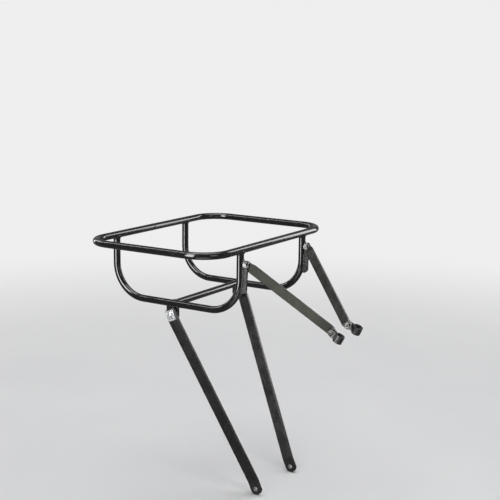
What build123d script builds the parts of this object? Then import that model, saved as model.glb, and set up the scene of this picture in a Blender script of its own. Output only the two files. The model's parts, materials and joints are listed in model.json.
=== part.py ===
from build123d import *
from math import atan2, cos, hypot, pi, sin, sqrt
import os

os.makedirs("parts", exist_ok=True)

# Bicycle rear rack: a closed tube ring on two U hoops, a pair of legs down to the
# dropouts and a pair of flat struts forward to the seat stays.
# X is forward along the bicycle, Y to its left, Z up. Millimetres.
# Origin: centre of the footprint of the whole rack, at the level of the leg ends.

# ---- driving dimensions -------------------------------------------------------
RACK_X = -87.40         # centre of the ring, forward of the origin
HOOP_Z = 378.01         # centre line of the hoop bottoms above the leg ends

TUBE_R = 7.0            # ring and hoop tube, outside radius
TUBE_WALL = 1.5
RING_X = 148.0          # half length of the ring, centre line
RING_Y = 216.0          # half width of the ring, centre line
RING_BEND = 54.0        # bend radius of the ring corners, centre line
RING_H = 123.0          # ring centre line above the hoop bottom centre line
HOOP_Y = 118.4          # half spacing of the two hoops
HOOP_BEND = 67.0        # bend radius of the hoops, centre line
CROSS_X = -5.0          # cross tube and leg pivots, forward of the ring centre

# leg pivot, M6
PIVOT_DROP = 20.0       # pivot below the hoop bottom centre line
M6_R, M6_HOLE = 3.0, 3.07
BRACKET_W = 28.0        # bracket plate, along X
BRACKET_X = -2.5        # middle of the plate, forward of the pivot
BRACKET_IN, BRACKET_OUT = 116.45, 122.45    # faces of the plate, from the centre plane
BRACKET_LOW = 33.0      # lower edge of the plate below the hoop centre line
LEG_W, LEG_T = 24.0, 6.0
LEG_TOP = 10.5          # end of the leg above the pivot
LEG_TOP_Y = 127.0       # leg centre plane at the pivot
LEG_END_Y = 69.1        # leg centre plane at the dropout eye
LEG_RUN_X, LEG_RUN_Z = 165.0, 346.0         # pivot to eye, forward and down
LEG_EYE_R = 3.1         # eye for an M6 dropout screw

# strut pivot and strut, M5
LUG_T = 4.0
STRUT_X, STRUT_UP = 161.0, 97.0             # strut pivot, from ring centre and hoop centre line
M5_R, M5_HOLE = 2.5, 2.56
STRUT_W, STRUT_T = 20.0, 4.0
STRUT_TOP_R, STRUT_FOOT_R = 6.0, 8.0        # end radii
STRUT_TOP_Y = 114.25    # strut centre plane at the lug
STRUT_END_Y = 32.5      # strut centre plane at the stay clamp
STRUT_END_X, STRUT_END_UP = 302.3, -31.6    # lower strut pivot

# seat stay clamp, for a 12 mm stay
STAY_X, STAY_Y, STAY_UP = 317.95, 38.6, -39.4
STAY_DIR = (74.9, 11.1, 150.0)              # right stay, upward and forward
STAY_R = 6.0
LINER_T = 1.45
STRAP_IN, STRAP_OUT = 7.5, 9.5
CLAMP_L = 15.0          # length of the clamp along the stay


def bent_strip(points, thickness):
    """Closed outline of a strip of constant thickness along a bent centre line."""
    left, right = [], []
    for i, (x, y) in enumerate(points):
        if i == 0:
            a0 = a1 = atan2(points[1][1] - y, points[1][0] - x)
        elif i == len(points) - 1:
            a0 = a1 = atan2(y - points[i - 1][1], x - points[i - 1][0])
        else:
            a0 = atan2(y - points[i - 1][1], x - points[i - 1][0])
            a1 = atan2(points[i + 1][1] - y, points[i + 1][0] - x)
        mid, half = (a0 + a1) / 2, thickness / 2 / cos((a1 - a0) / 2)
        left.append((x - half * sin(mid), y + half * cos(mid)))
        right.append((x + half * sin(mid), y - half * cos(mid)))
    return left + right[::-1]


def inner_corners(sketch, start, end):
    """Corners of a bent strip between two stations along its local x."""
    return [v for v in sketch.vertices() if start < v.X < end]


def flank_edges(piece, normal):
    """Long edges of a bent strip, on its two narrow sides."""
    sides = piece.faces().filter_by(lambda f: abs(f.normal_at().dot(Vector(normal))) > 0.999)
    return sides.edges().filter_by(Axis.Y, reverse=True)


# points used by several pieces: (X, Z) in side view
RING_Z = HOOP_Z + RING_H
PIVOT = (RACK_X + CROSS_X, HOOP_Z - PIVOT_DROP)
STRUT_PIVOT = (RACK_X + STRUT_X, HOOP_Z + STRUT_UP)
STRUT_FOOT = (RACK_X + STRUT_END_X, HOOP_Z + STRUT_END_UP)
STAY_AT = (RACK_X + STAY_X, HOOP_Z + STAY_UP)
HOOP_FRONT, HOOP_REAR = RACK_X + RING_X, RACK_X - RING_X

# ---- welded frame ---------------------------------------------------------------
# the ring: one half bent from tube, then its mirror image, closed by a butt weld at the rear
with BuildPart() as top_rail:
    with BuildLine(Plane.XY.offset(RING_Z)) as ring_path:
        FilletPolyline(
            (HOOP_REAR, 0), (HOOP_REAR, -RING_Y), (HOOP_FRONT, -RING_Y), (HOOP_FRONT, 0),
            radius=RING_BEND,
        )
    with BuildSketch(Plane(origin=(HOOP_REAR, 0, RING_Z), x_dir=(1, 0, 0), z_dir=(0, -1, 0))):
        Circle(TUBE_R)
        Circle(TUBE_R - TUBE_WALL, mode=Mode.SUBTRACT)
    sweep(path=ring_path.line)
    mirror(about=Plane.XZ)

# outer envelope of the right hoop, for the saddle cuts of the pieces welded to it
with BuildPart() as hoop_envelope:
    with BuildLine(Plane.XZ.offset(HOOP_Y)) as hoop_path:
        FilletPolyline(
            (HOOP_FRONT, RING_Z - 2), (HOOP_FRONT, HOOP_Z), (HOOP_REAR, HOOP_Z), (HOOP_REAR, RING_Z - 2),
            radius=HOOP_BEND,
        )
    with BuildSketch(Plane(origin=(HOOP_FRONT, -HOOP_Y, RING_Z - 2), x_dir=(1, 0, 0), z_dir=(0, 0, -1))):
        Circle(TUBE_R)
    sweep(path=hoop_path.line)

with BuildPart() as right_hoop:
    add(hoop_envelope.part)
    with BuildSketch(Plane(origin=(HOOP_FRONT, -HOOP_Y, RING_Z - 2), x_dir=(1, 0, 0), z_dir=(0, 0, -1))):
        Circle(TUBE_R - TUBE_WALL)
    sweep(path=hoop_path.line, mode=Mode.SUBTRACT)
    # coped tops that seat on the underside of the ring
    with BuildSketch(Plane.XZ):
        with Locations((HOOP_FRONT, RING_Z), (HOOP_REAR, RING_Z)):
            Circle(TUBE_R)
    extrude(amount=200, both=True, mode=Mode.SUBTRACT)

with BuildPart() as left_hoop:
    mirror(right_hoop.part, about=Plane.XZ)

with BuildPart() as cross_tube:
    with BuildSketch(Plane.XZ):
        with Locations((PIVOT[0], HOOP_Z)):
            Circle(TUBE_R)
            Circle(TUBE_R - TUBE_WALL, mode=Mode.SUBTRACT)
    extrude(amount=HOOP_Y - 2, both=True)
    for side in (-1, 1):
        with BuildSketch(Plane(origin=(PIVOT[0], side * HOOP_Y, HOOP_Z), x_dir=(0, 1, 0), z_dir=(1, 0, 0))):
            Circle(TUBE_R)
        extrude(amount=20, both=True, mode=Mode.SUBTRACT)

# drilled tab on the front of the hoop, for the strut
with BuildPart() as right_strut_lug:
    with BuildSketch(Plane.XZ.offset(HOOP_Y - LUG_T / 2)) as lug_face:
        with BuildLine():
            Polyline(
                (HOOP_FRONT - 3, HOOP_Z + 106), (HOOP_FRONT + 9, HOOP_Z + 106),
                (HOOP_FRONT + 17, HOOP_Z + 92), (HOOP_FRONT + 15.2, HOOP_Z + 66),
                (HOOP_FRONT + 15, HOOP_Z + 46), (HOOP_FRONT + 9, HOOP_Z + 40.5),
                (HOOP_FRONT - 8, HOOP_Z + 40.5), (HOOP_FRONT - 3, HOOP_Z + 106),
            )
        make_face()
        fillet([v for v in lug_face.vertices() if v.X > HOOP_FRONT + 8], radius=4)
        with Locations(STRUT_PIVOT):
            Circle(7.2)
    extrude(amount=LUG_T)
    with BuildSketch(Plane.XZ.offset(HOOP_Y - LUG_T / 2)):
        with Locations(STRUT_PIVOT):
            Circle(M5_HOLE)
    extrude(amount=LUG_T, mode=Mode.SUBTRACT)
    add(hoop_envelope.part, mode=Mode.SUBTRACT)

with BuildPart() as left_strut_lug:
    mirror(right_strut_lug.part, about=Plane.XZ)

# plate welded edge-on under the hoop; the leg pivots on its outer face
with BuildPart() as right_leg_bracket:
    with BuildSketch(Plane.XZ.offset(BRACKET_IN)) as plate_outline:
        with Locations((PIVOT[0] + BRACKET_X, HOOP_Z - (BRACKET_LOW + 5) / 2)):
            Rectangle(BRACKET_W, BRACKET_LOW - 5)
        fillet(plate_outline.vertices().group_by(Axis.Y)[0], radius=10)
    extrude(amount=BRACKET_OUT - BRACKET_IN)
    rims = right_leg_bracket.faces().filter_by(Axis.Y).edges()
    fillet([e for e in rims if e.center().Z < HOOP_Z - 5.5], radius=1.0)
    with BuildSketch(Plane.XZ.offset(BRACKET_IN)):
        with Locations(PIVOT):
            Circle(M6_HOLE)
    extrude(amount=BRACKET_OUT - BRACKET_IN, mode=Mode.SUBTRACT)
    add(hoop_envelope.part, mode=Mode.SUBTRACT)
    with BuildSketch(Plane.XZ):
        with Locations((PIVOT[0], HOOP_Z)):
            Circle(TUBE_R)
    extrude(amount=HOOP_Y, mode=Mode.SUBTRACT)

with BuildPart() as left_leg_bracket:
    mirror(right_leg_bracket.part, about=Plane.XZ)

# ---- leg pivot hardware -----------------------------------------------------------
LEG_IN = LEG_TOP_Y - LEG_T / 2
LEG_OUT = LEG_TOP_Y + LEG_T / 2
PLATE_T = 2.0
HEAD_AT = LEG_OUT + PLATE_T + 0.15

# button head screw with a hexagon socket
SHANK_END = BRACKET_IN - 6.7
with BuildPart() as right_leg_pivot_bolt:
    with BuildSketch(Plane.XZ.offset(SHANK_END)):
        with Locations(PIVOT):
            Circle(M6_R)
    extrude(amount=HEAD_AT - SHANK_END)
    with BuildSketch(Plane.XZ.offset(HEAD_AT)):
        with Locations(PIVOT):
            Circle(5.1)
    extrude(amount=3.3)
    fillet(right_leg_pivot_bolt.faces().sort_by(Axis.Y)[0].edges(), radius=2.0)
    chamfer(right_leg_pivot_bolt.faces().sort_by(Axis.Y)[-1].edges(), length=0.6)
    with BuildSketch(Plane.XZ.offset(HEAD_AT + 1.3)):
        with Locations(PIVOT):
            RegularPolygon(radius=2.0, side_count=6, major_radius=False)
    extrude(amount=3, mode=Mode.SUBTRACT)

# a thrust washer outside the bracket plate and a plain washer inside it
with BuildPart() as right_leg_pivot_washers:
    with BuildSketch(Plane.XZ.offset(BRACKET_OUT)):
        with Locations(PIVOT):
            Circle(7.5)
            Circle(3.2, mode=Mode.SUBTRACT)
    extrude(amount=1.4)
    with BuildSketch(Plane.XZ.offset(BRACKET_IN - 1.2)):
        with Locations(PIVOT):
            Circle(6.0)
            Circle(3.2, mode=Mode.SUBTRACT)
    extrude(amount=1.2)

with BuildPart() as right_leg_pivot_nut:
    with BuildSketch(Plane.XZ.offset(BRACKET_IN - 1.2 - 5.0)):
        with Locations(PIVOT):
            Circle(5.7)
    extrude(amount=5.0)
    chamfer(right_leg_pivot_nut.edges().filter_by(GeomType.CIRCLE), length=0.55)
    with BuildSketch(Plane.XZ.offset(BRACKET_IN - 1.2 - 5.0)):
        with Locations(PIVOT):
            RegularPolygon(radius=5.0, side_count=6, major_radius=False)
            Circle(M6_R, mode=Mode.SUBTRACT)
    extrude(amount=5.0, mode=Mode.INTERSECT)

with BuildPart() as left_leg_pivot_bolt:
    mirror(right_leg_pivot_bolt.part, about=Plane.XZ)
with BuildPart() as left_leg_pivot_washers:
    mirror(right_leg_pivot_washers.part, about=Plane.XZ)
with BuildPart() as left_leg_pivot_nut:
    mirror(right_leg_pivot_nut.part, about=Plane.XZ)

# ---- legs -------------------------------------------------------------------------
LEG_L = hypot(LEG_RUN_X, LEG_RUN_Z)
LEG_U = (LEG_RUN_X / LEG_L, 0, -LEG_RUN_Z / LEG_L)
LEG_N = (LEG_RUN_Z / LEG_L, 0, LEG_RUN_X / LEG_L)
LEG_EYE = (PIVOT[0] + LEG_RUN_X, PIVOT[1] - LEG_RUN_Z)
# along the leg in side view, local x runs down the leg and local y is the bicycle's Y
LEG_PLANE = Plane(origin=(PIVOT[0], 0, PIVOT[1]), x_dir=LEG_U, z_dir=LEG_N)
LEG_ANGLE = -atan2(LEG_RUN_Z, LEG_RUN_X) * 180 / pi
LEG_FACE = Plane(origin=(PIVOT[0], -LEG_END_Y + 10, PIVOT[1]), x_dir=LEG_U, z_dir=(0, -1, 0))

with BuildPart() as right_leg:
    with BuildSketch(LEG_PLANE) as leg_profile:
        with BuildLine():
            Polyline(*bent_strip([
                (-LEG_TOP, -LEG_TOP_Y), (13, -LEG_TOP_Y), (LEG_L - 17, -LEG_END_Y), (LEG_L + 14, -LEG_END_Y),
            ], LEG_T), close=True)
        make_face()
        fillet(inner_corners(leg_profile, 0, LEG_L), radius=24)
    extrude(amount=LEG_W / 2, both=True)
    fillet(flank_edges(right_leg, LEG_N), radius=1.2)
    # square top with rounded corners, round lower end
    with BuildSketch(LEG_FACE) as leg_outline:
        with Locations(((LEG_L - LEG_TOP) / 2, 0)):
            Rectangle(LEG_L + LEG_TOP, LEG_W + 0.02)
        fillet(leg_outline.vertices().group_by(Axis.X)[0], radius=4)
        with Locations((LEG_L, 0)):
            Circle(LEG_W / 2 + 0.01)
    extrude(amount=LEG_TOP_Y - LEG_END_Y + 20, mode=Mode.INTERSECT)
    with BuildSketch(Plane.XZ.offset(LEG_END_Y - 10)):
        with Locations(PIVOT):
            Circle(M6_HOLE)
        with Locations(LEG_EYE):
            Circle(LEG_EYE_R)
    extrude(amount=LEG_TOP_Y - LEG_END_Y + 20, mode=Mode.SUBTRACT)

# bare plate under the screw head, on the outer face of the leg
with BuildPart() as right_leg_top_plate:
    with BuildSketch(Plane.XZ.offset(LEG_OUT)) as plate_face:
        with Locations(Location((PIVOT[0] + 2.2 * LEG_U[0], PIVOT[1] + 2.2 * LEG_U[2], 0), (0, 0, LEG_ANGLE))):
            RectangleRounded(21.5, 19.5, 2.5)
        with Locations(PIVOT):
            Circle(M6_HOLE, mode=Mode.SUBTRACT)
    extrude(amount=PLATE_T)
    chamfer(right_leg_top_plate.faces().sort_by(Axis.Y)[0].outer_wire().edges(), length=0.45)

with BuildPart() as left_leg:
    mirror(right_leg.part, about=Plane.XZ)
with BuildPart() as left_leg_top_plate:
    mirror(right_leg_top_plate.part, about=Plane.XZ)

# ---- struts ------------------------------------------------------------------------
STRUT_DX, STRUT_DZ = STRUT_FOOT[0] - STRUT_PIVOT[0], STRUT_FOOT[1] - STRUT_PIVOT[1]
STRUT_L = hypot(STRUT_DX, STRUT_DZ)
STRUT_U = (STRUT_DX / STRUT_L, 0, STRUT_DZ / STRUT_L)
STRUT_N = (-STRUT_DZ / STRUT_L, 0, STRUT_DX / STRUT_L)
STRUT_PLANE = Plane(origin=(STRUT_PIVOT[0], 0, STRUT_PIVOT[1]), x_dir=STRUT_U, z_dir=STRUT_N)
STRUT_ANGLE = atan2(STRUT_DZ, STRUT_DX) * 180 / pi
# outline of the flat bar in side view, narrowed at the lug and at the clamp
STRUT_FACE = Plane(origin=(STRUT_PIVOT[0], -STRUT_END_Y + 15, STRUT_PIVOT[1]), x_dir=STRUT_U, z_dir=(0, -1, 0))

with BuildPart() as right_strut:
    with BuildSketch(STRUT_PLANE) as strut_profile:
        with BuildLine():
            Polyline(*bent_strip([
                (-12, -STRUT_TOP_Y), (6, -STRUT_TOP_Y), (STRUT_L - 7.5, -STRUT_END_Y), (STRUT_L + 12, -STRUT_END_Y),
            ], STRUT_T), close=True)
        make_face()
        fillet(inner_corners(strut_profile, 0, STRUT_L), radius=5)
    extrude(amount=STRUT_W / 2, both=True)
    fillet(flank_edges(right_strut, STRUT_N), radius=0.9)
    with BuildSketch(STRUT_FACE):
        with BuildLine():
            Polyline(
                (0, -STRUT_TOP_R), (14, -STRUT_W / 2 - 0.01), (STRUT_L - 9, -STRUT_W / 2 - 0.01), (STRUT_L, -STRUT_FOOT_R),
                (STRUT_L, STRUT_FOOT_R), (STRUT_L - 9, STRUT_W / 2 + 0.01), (14, STRUT_W / 2 + 0.01), (0, STRUT_TOP_R), close=True,
            )
        make_face()
        Circle(STRUT_TOP_R)
        with Locations((STRUT_L, 0)):
            Circle(STRUT_FOOT_R)
    extrude(amount=STRUT_TOP_Y - STRUT_END_Y + 30, mode=Mode.INTERSECT)
    with BuildSketch(Plane.XZ.offset(STRUT_END_Y - 15)):
        with Locations(STRUT_PIVOT, STRUT_FOOT):
            Circle(M5_HOLE)
    extrude(amount=STRUT_TOP_Y - STRUT_END_Y + 30, mode=Mode.SUBTRACT)

with BuildPart() as left_strut:
    mirror(right_strut.part, about=Plane.XZ)

# hexagon screw through lug and strut: head outside, nut inside
LUG_OUT = HOOP_Y + LUG_T / 2
STRUT_IN = STRUT_TOP_Y - STRUT_T / 2 - 0.15
with BuildPart() as right_strut_bolt:
    with BuildSketch(Plane.XZ.offset(LUG_OUT + 1.0)):
        with Locations(STRUT_PIVOT):
            Circle(4.56)
    extrude(amount=3.5)
    chamfer(right_strut_bolt.faces().sort_by(Axis.Y)[0].edges(), length=0.55)
    with BuildSketch(Plane.XZ.offset(LUG_OUT + 1.0)):
        with Locations(STRUT_PIVOT):
            RegularPolygon(radius=4.0, side_count=6, major_radius=False)
    extrude(amount=3.5, mode=Mode.INTERSECT)
    with BuildSketch(Plane.XZ.offset(STRUT_IN - 6.2)):
        with Locations(STRUT_PIVOT):
            Circle(M5_R)
    extrude(amount=LUG_OUT + 1.0 - STRUT_IN + 6.2)
    chamfer(right_strut_bolt.faces().sort_by(Axis.Y)[-1].edges(), length=0.5)

with BuildPart() as right_strut_washers:
    for start in (LUG_OUT, STRUT_IN - 1.0):
        with BuildSketch(Plane.XZ.offset(start)):
            with Locations(STRUT_PIVOT):
                Circle(5.0)
                Circle(2.65, mode=Mode.SUBTRACT)
        extrude(amount=1.0)

with BuildPart() as right_strut_nut:
    with BuildSketch(Plane.XZ.offset(STRUT_IN - 5.0)):
        with Locations(STRUT_PIVOT):
            Circle(4.56)
    extrude(amount=4.0)
    chamfer(right_strut_nut.edges().filter_by(GeomType.CIRCLE), length=0.55)
    with BuildSketch(Plane.XZ.offset(STRUT_IN - 5.0)):
        with Locations(STRUT_PIVOT):
            RegularPolygon(radius=4.0, side_count=6, major_radius=False)
            Circle(M5_R, mode=Mode.SUBTRACT)
    extrude(amount=4.0, mode=Mode.INTERSECT)

with BuildPart() as left_strut_bolt:
    mirror(right_strut_bolt.part, about=Plane.XZ)
with BuildPart() as left_strut_washers:
    mirror(right_strut_washers.part, about=Plane.XZ)
with BuildPart() as left_strut_nut:
    mirror(right_strut_nut.part, about=Plane.XZ)

# ---- seat stay clamps ----------------------------------------------------------------
# a steel strap bent round the stay over a rubber liner, with two ears on the strut's screw
EAR_IN, EAR_T, EAR_GAP = STRUT_END_Y + STRUT_T / 2 + 0.15, 2.0, 1.0
EAR_OUT = EAR_IN + 2 * EAR_T + EAR_GAP
STAY_PLANE = Plane(origin=(STAY_AT[0], -STAY_Y, STAY_AT[1]), x_dir=(0, 1, -11.1 / 150.0), z_dir=STAY_DIR)
EAR_DX, EAR_DZ = STRUT_FOOT[0] - STAY_AT[0], STRUT_FOOT[1] - STAY_AT[1]
EAR_L = hypot(EAR_DX, EAR_DZ)
# ear outline in side view: local x runs from the stay to the screw
EAR_FACE = Plane(origin=(STAY_AT[0], -EAR_IN, STAY_AT[1]), x_dir=(EAR_DX, 0, EAR_DZ), z_dir=(0, -1, 0))

with BuildPart() as right_clamp_strap:
    with BuildSketch(STAY_PLANE):
        Circle(STRAP_OUT)
    extrude(amount=CLAMP_L / 2, both=True)
    with BuildSketch(EAR_FACE):
        with Locations((EAR_L / 2, 0)):
            Rectangle(EAR_L, CLAMP_L - 1)
        with Locations((EAR_L, 0)):
            Circle((CLAMP_L - 1) / 2)
    extrude(amount=2 * EAR_T + EAR_GAP)
    with BuildSketch(STAY_PLANE):
        Circle(STRAP_IN)
    extrude(amount=CLAMP_L, both=True, mode=Mode.SUBTRACT)
    with BuildSketch(EAR_FACE.offset(EAR_T)):
        with Locations((20, 0)):
            Rectangle(40, 2 * CLAMP_L)
    extrude(amount=EAR_GAP, mode=Mode.SUBTRACT)
    with BuildSketch(Plane.XZ.offset(EAR_IN - 2)):
        with Locations(STRUT_FOOT):
            Circle(M5_HOLE)
    extrude(amount=12, mode=Mode.SUBTRACT)

with BuildPart() as right_clamp_liner:
    with BuildSketch(STAY_PLANE):
        Circle(STAY_R + LINER_T)
        Circle(STAY_R, mode=Mode.SUBTRACT)
    extrude(amount=CLAMP_L / 2, both=True)
    with BuildSketch(EAR_FACE.offset(EAR_T - 1)):
        with Locations((20, 0)):
            Rectangle(40, 2 * CLAMP_L)
    extrude(amount=EAR_GAP + 2, mode=Mode.SUBTRACT)

CLAMP_NUT = STRUT_END_Y - STRUT_T / 2 - 0.15
with BuildPart() as right_clamp_bolt:
    with BuildSketch(Plane.XZ.offset(CLAMP_NUT - 6.2)):
        with Locations(STRUT_FOOT):
            Circle(M5_R)
    extrude(amount=EAR_OUT - CLAMP_NUT + 6.2)
    with BuildSketch(Plane.XZ.offset(EAR_OUT)):
        with Locations(STRUT_FOOT):
            Circle(4.75)
    extrude(amount=2.8)
    fillet(right_clamp_bolt.faces().sort_by(Axis.Y)[0].edges(), radius=1.8)
    chamfer(right_clamp_bolt.faces().sort_by(Axis.Y)[-1].edges(), length=0.5)
    with BuildSketch(Plane.XZ.offset(EAR_OUT + 1.0)):
        with Locations(STRUT_FOOT):
            RegularPolygon(radius=1.5, side_count=6, major_radius=False)
    extrude(amount=3, mode=Mode.SUBTRACT)

with BuildPart() as right_clamp_washer:
    with BuildSketch(Plane.XZ.offset(CLAMP_NUT - 1.0)):
        with Locations(STRUT_FOOT):
            Circle(5.0)
            Circle(2.65, mode=Mode.SUBTRACT)
    extrude(amount=1.0)

with BuildPart() as right_clamp_nut:
    with BuildSketch(Plane.XZ.offset(CLAMP_NUT - 5.0)):
        with Locations(STRUT_FOOT):
            Circle(4.56)
    extrude(amount=4.0)
    chamfer(right_clamp_nut.edges().filter_by(GeomType.CIRCLE), length=0.55)
    with BuildSketch(Plane.XZ.offset(CLAMP_NUT - 5.0)):
        with Locations(STRUT_FOOT):
            RegularPolygon(radius=4.0, side_count=6, major_radius=False)
            Circle(M5_R, mode=Mode.SUBTRACT)
    extrude(amount=4.0, mode=Mode.INTERSECT)

with BuildPart() as left_clamp_strap:
    mirror(right_clamp_strap.part, about=Plane.XZ)
with BuildPart() as left_clamp_liner:
    mirror(right_clamp_liner.part, about=Plane.XZ)
with BuildPart() as left_clamp_bolt:
    mirror(right_clamp_bolt.part, about=Plane.XZ)
with BuildPart() as left_clamp_washer:
    mirror(right_clamp_washer.part, about=Plane.XZ)
with BuildPart() as left_clamp_nut:
    mirror(right_clamp_nut.part, about=Plane.XZ)

# ---- labels and files ------------------------------------------------------------------
PIECES = {
    "top_rail": top_rail, "right_hoop": right_hoop, "left_hoop": left_hoop, "cross_tube": cross_tube,
    "right_strut_lug": right_strut_lug, "left_strut_lug": left_strut_lug,
    "right_leg_bracket": right_leg_bracket, "left_leg_bracket": left_leg_bracket,
    "right_leg_pivot_bolt": right_leg_pivot_bolt, "left_leg_pivot_bolt": left_leg_pivot_bolt,
    "right_leg_pivot_washers": right_leg_pivot_washers, "left_leg_pivot_washers": left_leg_pivot_washers,
    "right_leg_pivot_nut": right_leg_pivot_nut, "left_leg_pivot_nut": left_leg_pivot_nut,
    "right_leg": right_leg, "left_leg": left_leg,
    "right_leg_top_plate": right_leg_top_plate, "left_leg_top_plate": left_leg_top_plate,
    "right_strut": right_strut, "left_strut": left_strut,
    "right_strut_bolt": right_strut_bolt, "left_strut_bolt": left_strut_bolt,
    "right_strut_washers": right_strut_washers, "left_strut_washers": left_strut_washers,
    "right_strut_nut": right_strut_nut, "left_strut_nut": left_strut_nut,
    "right_clamp_strap": right_clamp_strap, "left_clamp_strap": left_clamp_strap,
    "right_clamp_liner": right_clamp_liner, "left_clamp_liner": left_clamp_liner,
    "right_clamp_bolt": right_clamp_bolt, "left_clamp_bolt": left_clamp_bolt,
    "right_clamp_washer": right_clamp_washer, "left_clamp_washer": left_clamp_washer,
    "right_clamp_nut": right_clamp_nut, "left_clamp_nut": left_clamp_nut,
}
low, high = [1e9] * 3, [-1e9] * 3
for name, piece in PIECES.items():
    piece.part.label = name
    export_step(piece.part, f"parts/{name}.step")
    box = piece.part.bounding_box()
    low = [min(a, b) for a, b in zip(low, (box.min.X, box.min.Y, box.min.Z))]
    high = [max(a, b) for a, b in zip(high, (box.max.X, box.max.Y, box.max.Z))]
print("box", [round(v, 3) for v in low], [round(v, 3) for v in high])
print("leg pivot", PIVOT, "leg eye", LEG_EYE, "strut pivot", STRUT_PIVOT, "strut foot", STRUT_FOOT, "stay", STAY_AT)
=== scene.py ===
"""Bicycle rear rack: materials, weld beads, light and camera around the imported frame."""
import json
import math

import bpy
import numpy as np
from mathutils import Matrix, Vector


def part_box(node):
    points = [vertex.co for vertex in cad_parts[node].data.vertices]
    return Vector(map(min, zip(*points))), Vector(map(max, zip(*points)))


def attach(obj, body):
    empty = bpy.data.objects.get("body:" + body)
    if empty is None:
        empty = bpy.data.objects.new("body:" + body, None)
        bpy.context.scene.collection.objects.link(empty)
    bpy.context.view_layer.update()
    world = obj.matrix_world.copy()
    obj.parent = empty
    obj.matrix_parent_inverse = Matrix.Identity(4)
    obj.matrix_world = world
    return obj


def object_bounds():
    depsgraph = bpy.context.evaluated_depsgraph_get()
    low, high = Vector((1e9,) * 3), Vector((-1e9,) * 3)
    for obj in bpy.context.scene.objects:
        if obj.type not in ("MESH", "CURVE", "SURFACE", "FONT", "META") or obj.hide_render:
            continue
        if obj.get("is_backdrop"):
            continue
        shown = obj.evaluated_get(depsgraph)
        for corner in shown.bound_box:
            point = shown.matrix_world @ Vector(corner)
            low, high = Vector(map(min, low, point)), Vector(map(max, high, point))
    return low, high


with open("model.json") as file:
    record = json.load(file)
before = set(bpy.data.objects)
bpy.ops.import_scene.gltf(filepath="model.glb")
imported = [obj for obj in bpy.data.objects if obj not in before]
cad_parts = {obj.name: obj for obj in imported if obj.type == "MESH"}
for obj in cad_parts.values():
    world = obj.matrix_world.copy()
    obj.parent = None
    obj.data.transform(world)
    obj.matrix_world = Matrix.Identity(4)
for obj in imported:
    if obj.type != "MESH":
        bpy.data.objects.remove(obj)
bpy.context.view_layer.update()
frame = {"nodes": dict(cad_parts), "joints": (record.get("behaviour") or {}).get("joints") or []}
nodes = frame["nodes"]
joints = {j["name"]: j for j in frame["joints"]}

# ------------------------------------------------------------------ sizes read from the frame
MM = 0.001
lo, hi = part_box("top_rail")
TUBE = (hi[2] - lo[2]) / 2
RING_Z = (hi[2] + lo[2]) / 2
FRONT_X, REAR_X = hi[0] - TUBE, lo[0] + TUBE
RING_Y = hi[1] - TUBE
lo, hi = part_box("left_hoop")
HOOP_Y = (lo[1] + hi[1]) / 2
HOOP_Z = lo[2] + TUBE
HOOP_BEND = 67 * MM
lo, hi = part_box("cross_tube")
CROSS_X = (lo[0] + hi[0]) / 2


def joint_at(name):
    return Vector(joints[name]["pos_m"])


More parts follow.
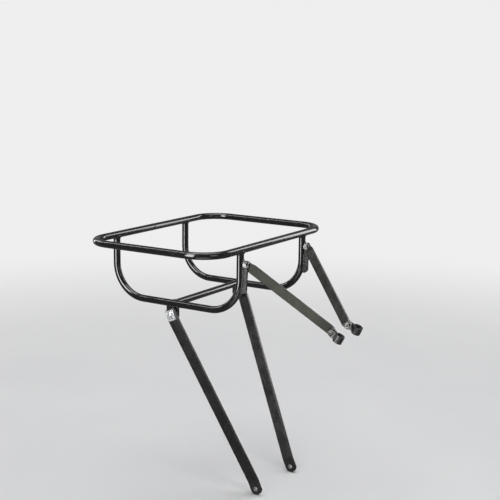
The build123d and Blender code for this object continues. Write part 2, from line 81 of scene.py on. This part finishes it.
# ------------------------------------------------------------------ node helpers
class Nodes:
    """A short way to write shader node trees."""

    def __init__(self, name):
        self.m = bpy.data.materials.new(name)
        self.m.use_nodes = True
        self.t = self.m.node_tree
        self.t.nodes.clear()
        self.out = self.t.nodes.new("ShaderNodeOutputMaterial")
        self.b = self.t.nodes.new("ShaderNodeBsdfPrincipled")
        self.t.links.new(self.b.outputs[0], self.out.inputs[0])
        self.coord = self.t.nodes.new("ShaderNodeTexCoord").outputs["Object"]

    def link(self, a, b):
        self.t.links.new(a, b)

    def put(self, socket, value):
        if hasattr(value, "is_output"):
            self.link(value, socket)
        else:
            socket.default_value = value

    def mapping(self, scale=(1, 1, 1), rot=(0, 0, 0), loc=(0, 0, 0)):
        n = self.t.nodes.new("ShaderNodeMapping")
        n.inputs["Scale"].default_value = scale
        n.inputs["Rotation"].default_value = rot
        n.inputs["Location"].default_value = loc
        self.link(self.coord, n.inputs["Vector"])
        return n.outputs[0]

    def noise(self, scale, detail=4.0, rough=0.55, vector=None, distortion=0.0):
        n = self.t.nodes.new("ShaderNodeTexNoise")
        n.inputs["Scale"].default_value = scale
        n.inputs["Detail"].default_value = detail
        n.inputs["Roughness"].default_value = rough
        n.inputs["Distortion"].default_value = distortion
        self.link(vector or self.coord, n.inputs["Vector"])
        return n.outputs[0]

    def voronoi(self, scale, feature="F1", output="Distance", vector=None, randomness=1.0):
        n = self.t.nodes.new("ShaderNodeTexVoronoi")
        n.feature = feature
        n.inputs["Scale"].default_value = scale
        n.inputs["Randomness"].default_value = randomness
        self.link(vector or self.coord, n.inputs["Vector"])
        return n.outputs[output]

    def ramp(self, value, stops, interp="LINEAR"):
        n = self.t.nodes.new("ShaderNodeValToRGB")
        n.color_ramp.interpolation = interp
        el = n.color_ramp.elements
        while len(el) < len(stops):
            el.new(0.5)
        for e, (p, c) in zip(el, stops):
            e.position = p
            e.color = (c, c, c, 1) if isinstance(c, (int, float)) else (*c, 1)
        self.link(value, n.inputs[0])
        return n.outputs[0]

    def rng(self, value, a, b, c=0.0, d=1.0, smooth=False):
        n = self.t.nodes.new("ShaderNodeMapRange")
        n.interpolation_type = "SMOOTHSTEP" if smooth else "LINEAR"
        for i, v in enumerate((a, b, c, d)):
            n.inputs[i + 1].default_value = v
        self.link(value, n.inputs[0])
        return n.outputs[0]

    def math(self, op, a, b=0.0):
        n = self.t.nodes.new("ShaderNodeMath")
        n.operation = op
        self.put(n.inputs[0], a)
        self.put(n.inputs[1], b)
        return n.outputs[0]

    def mix(self, fac, a, b):
        n = self.t.nodes.new("ShaderNodeMix")
        n.data_type = "RGBA"
        self.put(n.inputs[0], fac)
        for s, v in ((n.inputs[6], a), (n.inputs[7], b)):
            if isinstance(v, tuple) and len(v) == 3:
                v = (*v, 1)
            self.put(s, v)
        return n.outputs[2]

    def away(self, point, flat_axis=None):
        """Distance from a point, or from a line through it along an axis."""
        sub = self.t.nodes.new("ShaderNodeVectorMath")
        sub.operation = "SUBTRACT"
        self.link(self.coord, sub.inputs[0])
        sub.inputs[1].default_value = tuple(point)
        v = sub.outputs[0]
        if flat_axis is not None:
            mul = self.t.nodes.new("ShaderNodeVectorMath")
            mul.operation = "MULTIPLY"
            self.link(v, mul.inputs[0])
            keep = [1.0, 1.0, 1.0]
            keep[flat_axis] = 0.0
            mul.inputs[1].default_value = keep
            v = mul.outputs[0]
        ln = self.t.nodes.new("ShaderNodeVectorMath")
        ln.operation = "LENGTH"
        self.link(v, ln.inputs[0])
        return ln.outputs["Value"]

    def bump(self, height, strength, distance, normal=None):
        n = self.t.nodes.new("ShaderNodeBump")
        n.inputs["Strength"].default_value = strength
        n.inputs["Distance"].default_value = distance
        self.link(height, n.inputs["Height"])
        if normal is not None:
            self.link(normal, n.inputs["Normal"])
        return n.outputs[0]

    def done(self, **inputs):
        for k, v in inputs.items():
            self.put(self.b.inputs[k.replace("_", " ")], v)
        return self.m


def black_paint(name, base, rough, peel, coat, wear_at=(), dust=0.5):
    """Black paint: orange peel, faint cloudiness, dust specks, fine scratches, rubbed rings round screws."""
    n = Nodes(name)
    cloud = n.noise(22, 3, 0.5)
    colour = n.mix(n.rng(cloud, 0.35, 0.7), tuple(base), tuple(c * 1.9 + 0.002 for c in base))
    # settled dust: sparse soft specks
    speck = n.rng(n.voronoi(900, output="Distance"), 0.0, 0.16, 1.0, 0.0, smooth=True)
    patch = n.rng(n.noise(60, 3, 0.6), 0.52, 0.74, 0.0, 1.0, smooth=True)
    speck = n.math("MULTIPLY", speck, n.math("MULTIPLY", patch, dust))
    colour = n.mix(speck, colour, (0.11, 0.105, 0.095))
    # fine handling scratches, long and thin
    long_a = n.mapping(scale=(1, 1, 0.035), rot=(0.5, 0.2, 0.3))
    scr = n.rng(n.voronoi(420, "DISTANCE_TO_EDGE", "Distance", vector=long_a), 0.0, 0.02, 1.0, 0.0)
    scr = n.math("MULTIPLY", scr, n.rng(n.noise(35, 2, 0.5), 0.56, 0.7, 0.0, 0.7, smooth=True))
    rough_v = n.rng(n.noise(48, 4, 0.6), 0.3, 0.75, rough * 0.75, rough * 1.35)
    rough_v = n.math("ADD", rough_v, n.math("MULTIPLY", scr, 0.22))
    rough_v = n.math("ADD", rough_v, n.math("MULTIPLY", speck, 0.4))
    peel_h = n.noise(620, 2, 0.4)
    bump = n.bump(peel_h, peel, 0.00012)
    bump = n.bump(n.math("MULTIPLY", scr, -1.0), 0.06, 0.00003, bump)
    metal = None
    if wear_at:
        ragged = n.noise(700, 4, 0.65)
        for point, axis, r0, r1 in wear_at:
            d = n.away(point, axis)
            d = n.math("ADD", d, n.math("MULTIPLY", n.math("SUBTRACT", ragged, 0.5), 0.0016))
            band = n.math("MULTIPLY", n.rng(d, r0 - 0.0002, r0 + 0.0002), n.rng(d, r1 - 0.0001, r1 + 0.0002, 1.0, 0.0))
            metal = band if metal is None else n.math("MAXIMUM", metal, band)
        colour = n.mix(metal, colour, (0.30, 0.29, 0.28))
        rough_v = n.mix(metal, rough_v, (0.42, 0.42, 0.42))
    ins = dict(Base_Color=colour, Roughness=rough_v, Normal=bump)
    if metal is not None:
        ins["Metallic"] = metal
    m = n.done(**ins)
    n.b.inputs["IOR"].default_value = 1.5
    return m


def zinc_plate(name, tint=(0.66, 0.675, 0.70), rough=0.27, brushed=None):
    """Bright zinc: cloudy passivation, fine crystal spangle, small dark pits."""
    n = Nodes(name)
    cloud = n.noise(90, 5, 0.6)
    spangle = n.voronoi(520, output="Color")
    grey = n.t.nodes.new("ShaderNodeRGBToBW")
    n.link(spangle, grey.inputs[0])
    colour = n.mix(n.rng(cloud, 0.3, 0.72), tuple(c * 0.78 for c in tint), tint)
    colour = n.mix(n.math("MULTIPLY", grey.outputs[0], 0.18), colour, (0.80, 0.79, 0.74))
    pits = n.math("MULTIPLY", n.rng(n.voronoi(1500), 0.0, 0.18, 1.0, 0.0), n.rng(n.noise(210, 3, 0.5), 0.55, 0.66))
    colour = n.mix(n.math("MULTIPLY", pits, 0.75), colour, (0.10, 0.095, 0.085))
    rough_v = n.math("ADD", n.rng(cloud, 0.3, 0.75, rough * 0.75, rough * 1.4), n.math("MULTIPLY", pits, 0.3))
    fine = n.noise(2600, 3, 0.6)
    if brushed is not None:
        fine = n.noise(900, 3, 0.6, vector=n.mapping(scale=brushed))
    b = n.bump(fine, 0.22, 0.00004)
    b = n.bump(n.math("MULTIPLY", pits, -1.0), 0.4, 0.00006, b)
    return n.done(Base_Color=colour, Metallic=1.0, Roughness=rough_v, Normal=b)


def rubber(name):
    n = Nodes(name)
    cloud = n.noise(120, 4, 0.6)
    colour = n.mix(n.rng(cloud, 0.35, 0.75), (0.014, 0.014, 0.014), (0.034, 0.033, 0.031))
    b = n.bump(n.noise(2200, 3, 0.7), 0.35, 0.00008)
    return n.done(Base_Color=colour, Roughness=n.rng(cloud, 0.3, 0.8, 0.62, 0.86), Normal=b)


legp = {s: joint_at(f"{s}_leg_pivot") for s in ("right", "left")}
strp = {s: joint_at(f"{s}_strut_pivot") for s in ("right", "left")}
clmp = {s: joint_at(f"{s}_clamp_pivot") for s in ("right", "left")}
eye_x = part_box("right_leg")[1][0] - 0.012
eye_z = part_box("right_leg")[0][2] + 0.012

TUBE_PAINT = black_paint("gloss_black_tube", (0.0050, 0.0050, 0.0056), 0.12, 0.05, 0.9, dust=0.22)
BAR_PAINT = black_paint(
    "satin_black_bar", (0.0078, 0.0076, 0.0068), 0.28, 0.15, 0.25,
    wear_at=[(legp["right"], 1, 0.0073, 0.0079), ((eye_x, 0, eye_z), 1, 0.0031, 0.0047)], dust=0.8)
STRUT_PAINT = black_paint(
    "satin_black_strut", (0.0160, 0.0154, 0.0120), 0.33, 0.25, 0.2,
    wear_at=[(strp["right"], 1, 0.0047, 0.0058), (clmp["right"], 1, 0.0047, 0.0056)], dust=0.9)
PLATE_PAINT = black_paint(
    "black_folded_plate", (0.0075, 0.0075, 0.0078), 0.20, 0.06, 0.6,
    wear_at=[(legp["right"], 1, 0.0072, 0.0080), (strp["right"], 1, 0.0047, 0.0054)], dust=0.25)
CLAMP_PAINT = black_paint(
    "black_clamp_strap", (0.0100, 0.0100, 0.0102), 0.36, 0.3, 0.1,
    wear_at=[(clmp["right"], 1, 0.0046, 0.0053)], dust=0.6)
SCREW_BLACK = black_paint("black_oxide_screw", (0.017, 0.0168, 0.0165), 0.34, 0.2, 0.0, dust=0.4)
ZINC = zinc_plate("bright_zinc")
ZINC_DULL = zinc_plate("dull_zinc", tint=(0.13, 0.13, 0.135), rough=0.36)
ZINC_PLATE = zinc_plate("bare_zinc_plate", tint=(0.60, 0.61, 0.63), rough=0.30, brushed=(1.0, 1.0, 0.12))
RUBBER = rubber("matt_rubber")

FINISH = {"top_rail": TUBE_PAINT, "cross_tube": TUBE_PAINT}
for side in ("right", "left"):
    FINISH[f"{side}_hoop"] = TUBE_PAINT
    FINISH[f"{side}_strut_lug"] = PLATE_PAINT
    FINISH[f"{side}_leg_bracket"] = PLATE_PAINT
    FINISH[f"{side}_leg"] = BAR_PAINT
    FINISH[f"{side}_strut"] = STRUT_PAINT
    FINISH[f"{side}_leg_top_plate"] = ZINC_PLATE
    FINISH[f"{side}_clamp_bolt"] = SCREW_BLACK
    FINISH[f"{side}_clamp_strap"] = CLAMP_PAINT
    FINISH[f"{side}_clamp_liner"] = RUBBER
    for part in ("leg_pivot_bolt", "leg_pivot_washers", "leg_pivot_nut"):
        FINISH[f"{side}_{part}"] = ZINC
    for part in ("strut_bolt", "strut_washers", "strut_nut", "clamp_washer", "clamp_nut"):
        FINISH[f"{side}_{part}"] = ZINC_DULL
for name, o in nodes.items():
    o.data.materials.clear()
    o.data.materials.append(FINISH[name])


# ------------------------------------------------------------------ weld beads
def bead(name, pts, out, width, height, closed=False, pitch=1.5 * MM, seed=0, around=14, ripple=0.16):
    """A weld bead laid along points. out is the direction the bead's crown faces at each point."""
    rng = np.random.default_rng(seed)
    pts, out = np.array(pts, float), np.array(out, float)
    seg = np.linalg.norm(np.diff(pts, axis=0, append=pts[:1] if closed else pts[-1:]), axis=1)
    s = np.concatenate([[0.0], np.cumsum(seg)[:-1]])
    total = s[-1] + (seg[-1] if closed else 0)
    n = max(8, int(total / (0.22 * MM)))
    u = np.linspace(0, total, n, endpoint=not closed)
    if closed:
        sp, pp, oo = np.append(s, total), np.vstack([pts, pts[:1]]), np.vstack([out, out[:1]])
    else:
        sp, pp, oo = s, pts, out
    P = np.stack([np.interp(u, sp, pp[:, k]) for k in range(3)], 1)
    B = np.stack([np.interp(u, sp, oo[:, k]) for k in range(3)], 1)
    T = (np.roll(P, -1, 0) - np.roll(P, 1, 0)) if closed else np.gradient(P, axis=0)
    T /= np.linalg.norm(T, axis=1)[:, None]
    B -= T * (B * T).sum(1)[:, None]
    B /= np.linalg.norm(B, axis=1)[:, None]
    S = np.cross(T, B)
    if closed:
        pitch = total / max(1, round(total / pitch))
    wob = sum(a * np.sin(2 * math.pi * u / total * k + p) for k, a, p in zip((1, 2, 3, 5), rng.normal(0, 0.03, 4), rng.uniform(0, 6.28, 4)))
    phi = np.linspace(0, 2 * math.pi, around, endpoint=False)
    verts = []
    for i in range(n):
        taper = 1.0 if closed else min(1.0, 0.45 + 0.55 * min(u[i], total - u[i]) / (1.6 * width))
        for a in phi:
            crown = max(0.0, math.cos(a))
            ph = (u[i] / pitch + 0.42 * crown) % 1.0
            k = (1 + wob[i]) * (1 + ripple * (ph ** 1.6 - 0.45) * (0.3 + 0.7 * crown)) * taper
            verts.append(P[i] + S[i] * math.sin(a) * width * k + B[i] * math.cos(a) * height * k)
    faces = []
    for i in range(n if closed else n - 1):
        j = (i + 1) % n
        for a in range(around):
            b = (a + 1) % around
            faces.append((i * around + a, i * around + b, j * around + b, j * around + a))
    if not closed:
        faces.append(tuple(range(around))[::-1])
        faces.append(tuple((n - 1) * around + a for a in range(around)))
    me = bpy.data.meshes.new(name)
    me.from_pydata([tuple(v) for v in verts], [], faces)
    me.polygons.foreach_set("use_smooth", [True] * len(me.polygons))
    me.update()
    o = bpy.data.objects.new(name, me)
    bpy.context.scene.collection.objects.link(o)
    o.data.materials.append(TUBE_PAINT)
    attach(o, "rack_frame")
    return o


def saddle(axis_at, post_dir, along, wid, name, seed):
    """Bead round a tube that meets another tube of the same size at a right angle.
    axis_at: point on the main tube's axis. post_dir: way the branch leaves. along: main tube's axis."""
    z, y = Vector(post_dir), Vector(along)
    x = y.cross(z)
    pts, out = [], []
    for i in range(144):
        t = 2 * math.pi * i / 144
        c, s = math.cos(t), math.sin(t)
        depth = math.sqrt((TUBE * s) ** 2 + (2.6 * MM) ** 2)
        px = x * (TUBE * c) + y * (TUBE * s) + z * depth
        n1 = x * c + y * s
        n2 = (x * (TUBE * c) + z * depth).normalized()
        m = (n1 + n2).normalized()
        open_angle = max(0.0, 1 - n1.dot(n2))
        pts.append(Vector(axis_at) + px - m * (0.55 * MM) * (1 - open_angle))
        out.append(m)
    return bead(name, pts, out, wid * 1.25, wid, closed=True, seed=seed)


k = 0
for sx, X in (("front", FRONT_X), ("rear", REAR_X)):
    for side, sy in (("right", -1), ("left", 1)):
        k += 1
        saddle((X, sy * HOOP_Y, RING_Z), (0, 0, -1), (0, 1, 0), 1.75 * MM, f"weld_ring_{sx}_{side}", k)
for side, sy in (("right", -1), ("left", 1)):
    k += 1
    saddle((CROSS_X, sy * HOOP_Y, HOOP_Z), (0, -sy, 0), (1, 0, 0), 1.7 * MM, f"weld_cross_tube_{side}", k)

    # lug to hoop, one bead on each face of the lug
    lug_lo, lug_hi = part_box(f"{side}_strut_lug")
    r = HOOP_BEND + math.sqrt(TUBE ** 2 - (2 * MM) ** 2)
    cx, cz = FRONT_X - HOOP_BEND, HOOP_Z + HOOP_BEND
    for face, fy in (("outer", sy), ("inner", -sy)):
        y = sy * HOOP_Y + fy * 2.2 * MM
        # the inner bead starts below the strut's swing
        top = lug_hi[2] - 3 * MM if face == "outer" else strp[side].z - 15.5 * MM
        pts = [Vector((cx + r, y, z)) for z in np.linspace(top, cz, 24)]
        low = math.asin((cz - lug_lo[2] - 3.5 * MM) / r)
        pts += [Vector((cx + r * math.cos(a), y, cz - r * math.sin(a))) for a in np.linspace(0, low, 14)[1:]]
        out = [Vector((0.55, fy, 0))] * len(pts)
        k += 1
        bead(f"weld_lug_{face}_{side}", pts, out, 1.35 * MM, 1.0 * MM, seed=k)

    # bracket plate to hoop, along both faces and across both ends
    b_lo, b_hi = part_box(f"{side}_leg_bracket")
    for face, y, fy in (("high_y", b_hi[1], 1), ("low_y", b_lo[1], -1)):
        dy = y - sy * HOOP_Y
        drop = math.sqrt(TUBE ** 2 - dy ** 2)
        xs = np.linspace(b_lo[0] + 0.8 * MM, b_hi[0] - 0.8 * MM, 40)
        pts = [Vector((x, y, HOOP_Z - drop)) for x in xs]
        out = [Vector((0, fy + dy / TUBE, -drop / TUBE))] * len(pts)
        k += 1
        bead(f"weld_bracket_{face}_{side}", pts, out, 1.45 * MM, 1.05 * MM, seed=k)
    for end, x, fx in (("front", b_hi[0], 1), ("rear", b_lo[0], -1)):
        pts, out = [], []
        for y in np.linspace(b_lo[1] + 0.4 * MM, b_hi[1] - 0.4 * MM, 16):
            dy = y - sy * HOOP_Y
            z = HOOP_Z - math.sqrt(TUBE ** 2 - dy ** 2)
            pts.append(Vector((x + fx * 0.1 * MM, y, z)))
            out.append(Vector((fx, 0, -0.8)))
        k += 1
        bead(f"weld_bracket_{end}_{side}", pts, out, 1.35 * MM, 1.1 * MM, seed=k)

# the ring's butt seam at the rear: a low, dressed bead round the tube
seam = [Vector((REAR_X + TUBE * math.cos(a), 0, RING_Z + TUBE * math.sin(a))) for a in np.linspace(0, 2 * math.pi, 96, endpoint=False)]
seam_out = [Vector((math.cos(a), 0, math.sin(a))) for a in np.linspace(0, 2 * math.pi, 96, endpoint=False)]
bead("weld_ring_seam", seam, seam_out, 1.9 * MM, 0.33 * MM, closed=True, pitch=1.2 * MM, seed=99, ripple=0.25)

# ------------------------------------------------------------------ floor, light, camera
YAW = math.radians(31.944)
BACKDROP = 0.86


def stage_floor_material():
    """Matt pale floor that turns into the backdrop's even tone away from the rack."""
    n = Nodes("pale_floor")
    c = n.mix(n.rng(n.noise(3.0, 3, 0.5), 0.3, 0.7), (0.80, 0.80, 0.805), (0.83, 0.83, 0.83))
    n.done(Base_Color=c, Roughness=0.9)
    n.b.inputs["Specular IOR Level"].default_value = 0.0
    glow = n.t.nodes.new("ShaderNodeEmission")
    glow.inputs[0].default_value = (1, 1, 1, 1)
    glow.inputs[1].default_value = BACKDROP
    mix = n.t.nodes.new("ShaderNodeMixShader")
    n.link(n.rng(n.away((0, 0, 0)), 0.45, 2.6, 0.0, 1.0, smooth=True), mix.inputs[0])
    n.link(n.b.outputs[0], mix.inputs[1])
    n.link(glow.outputs[0], mix.inputs[2])
    n.link(mix.outputs[0], n.out.inputs[0])
    return n.m


def backdrop_material():
    n = Nodes("backdrop")
    glow = n.t.nodes.new("ShaderNodeEmission")
    glow.inputs[0].default_value = (1, 1, 1, 1)
    glow.inputs[1].default_value = BACKDROP
    n.link(glow.outputs[0], n.out.inputs[0])
    return n.m


def stage_piece(name, verts, faces, material, **rays):
    me = bpy.data.meshes.new(name)
    me.from_pydata(verts, [], faces)
    me.update()
    o = bpy.data.objects.new(name, me)
    bpy.context.scene.collection.objects.link(o)
    me.materials.append(material)
    for k, v in rays.items():
        setattr(o, k, v)
    o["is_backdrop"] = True
    return o


R, SIDES = 16.0, 96
ring = [(R * math.cos(2 * math.pi * i / SIDES), R * math.sin(2 * math.pi * i / SIDES)) for i in range(SIDES)]
stage_piece("floor", [(x, y, 0.0) for x, y in ring], [tuple(range(SIDES))], stage_floor_material(), visible_glossy=False)
dome_v, dome_f = [], []
for j in range(13):
    e = math.radians(-4 + 94 * j / 12)
    dome_v += [(x * math.cos(e), y * math.cos(e), R * math.sin(e)) for x, y in ring]
for j in range(12):
    for i in range(SIDES):
        k2 = (i + 1) % SIDES
        dome_f.append((j * SIDES + i, (j + 1) * SIDES + i, (j + 1) * SIDES + k2, j * SIDES + k2))
stage_piece("backdrop", dome_v, dome_f, backdrop_material(), visible_glossy=False, visible_diffuse=False,
            visible_transmission=False, visible_shadow=False)


def softbox(name, azimuth, distance, size, bottom, radiance, aim=(-0.09, -0.05, 0.40), diffuse=True):
    """Upright or overhead area light. azimuth in degrees from +X; bottom is its lower edge above the floor."""
    light = bpy.data.lights.new(name, "AREA")
    light.shape = "RECTANGLE"
    light.size, light.size_y = size
    light.energy = radiance * math.pi * size[0] * size[1]
    o = bpy.data.objects.new(name, light)
    bpy.context.scene.collection.objects.link(o)
    a = math.radians(azimuth)
    at = Vector((aim[0] + distance * math.cos(a), aim[1] + distance * math.sin(a), bottom + size[1] / 2))
    o.location = at
    o.rotation_euler = Vector((aim[0] - at.x, aim[1] - at.y, 0)).to_track_quat("-Z", "Y").to_euler()
    o.visible_camera = False
    o.visible_diffuse = diffuse
    return o


softbox("tall_left", -98, 1.35, (0.60, 1.6), 0.02, 15.0, diffuse=False)
softbox("tall_back_left", 62, 1.7, (0.35, 1.5), 0.35, 7.0, diffuse=False)
softbox("tall_rear", 172, 1.7, (0.30, 1.5), 0.35, 5.0, diffuse=False)
softbox("right_fill", -20, 2.0, (0.8, 1.2), 0.5, 2.0)
# a high strip behind the left shoulder of the camera's view: the thin line along the ring's long side
strip = softbox("high_strip", -150, 0.5, (2.6, 0.18), 0.0, 15.0, diffuse=False)
way = Vector((-0.56, -0.25, 0.79)).normalized()
strip.location = Vector((-0.09, -0.2, 0.5)) + way * 1.9
across = (Vector((1, 0, 0)) - way * way.x).normalized()
up = way.cross(across)
strip.rotation_euler = Matrix((across, up, way)).transposed().to_euler()
# light thrown up by the pale floor in front, seen only as a reflection
bounce = softbox("floor_bounce", -90, 0.5, (0.5, 0.5), 0.0, 2.1, diffuse=False)
bounce.data.color = (1.0, 0.99, 0.84)
bounce.location = (0.28, -0.60, 0.004)
bounce.rotation_euler = (math.pi, 0, 0)
over = softbox("overhead", -60, 0.5, (2.2, 2.2), 0.0, 3.2)
over.location = (-0.1, 0.1, 2.7)
over.rotation_euler = (0, 0, 0)

world = bpy.data.worlds.new("soft_studio")
world.use_nodes = True
bg = world.node_tree.nodes["Background"]
bg.inputs[0].default_value = (0.95, 0.97, 1.0, 1)
bg.inputs[1].default_value = 0.27
bpy.context.scene.world = world
bpy.context.scene.view_settings.view_transform = "Standard"
bpy.context.scene.view_settings.look = "None"

cam = bpy.data.cameras.new("camera")
cam.sensor_width = 36.0
cam.lens = 1071.96 / 500 * 36 * 0.965
cam.clip_end = 100
pitch, roll = math.radians(10.595), math.radians(0.694)
fwd = Vector((-math.sin(YAW) * math.cos(pitch), math.cos(YAW) * math.cos(pitch), -math.sin(pitch)))
r0 = Vector((math.cos(YAW), math.sin(YAW), 0))
u0 = r0.cross(fwd)
r1 = r0 * math.cos(roll) + u0 * math.sin(roll)
u1 = -r0 * math.sin(roll) + u0 * math.cos(roll)
ring_x = (FRONT_X + REAR_X) / 2
eye = Vector((ring_x + 1.16964, -1.72293, HOOP_Z + 0.47963))
co = bpy.data.objects.new("camera", cam)
bpy.context.scene.collection.objects.link(co)
co.matrix_world = Matrix(((r1.x, u1.x, -fwd.x, eye.x), (r1.y, u1.y, -fwd.y, eye.y), (r1.z, u1.z, -fwd.z, eye.z), (0, 0, 0, 1)))
bpy.context.scene.camera = co

lo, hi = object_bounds()
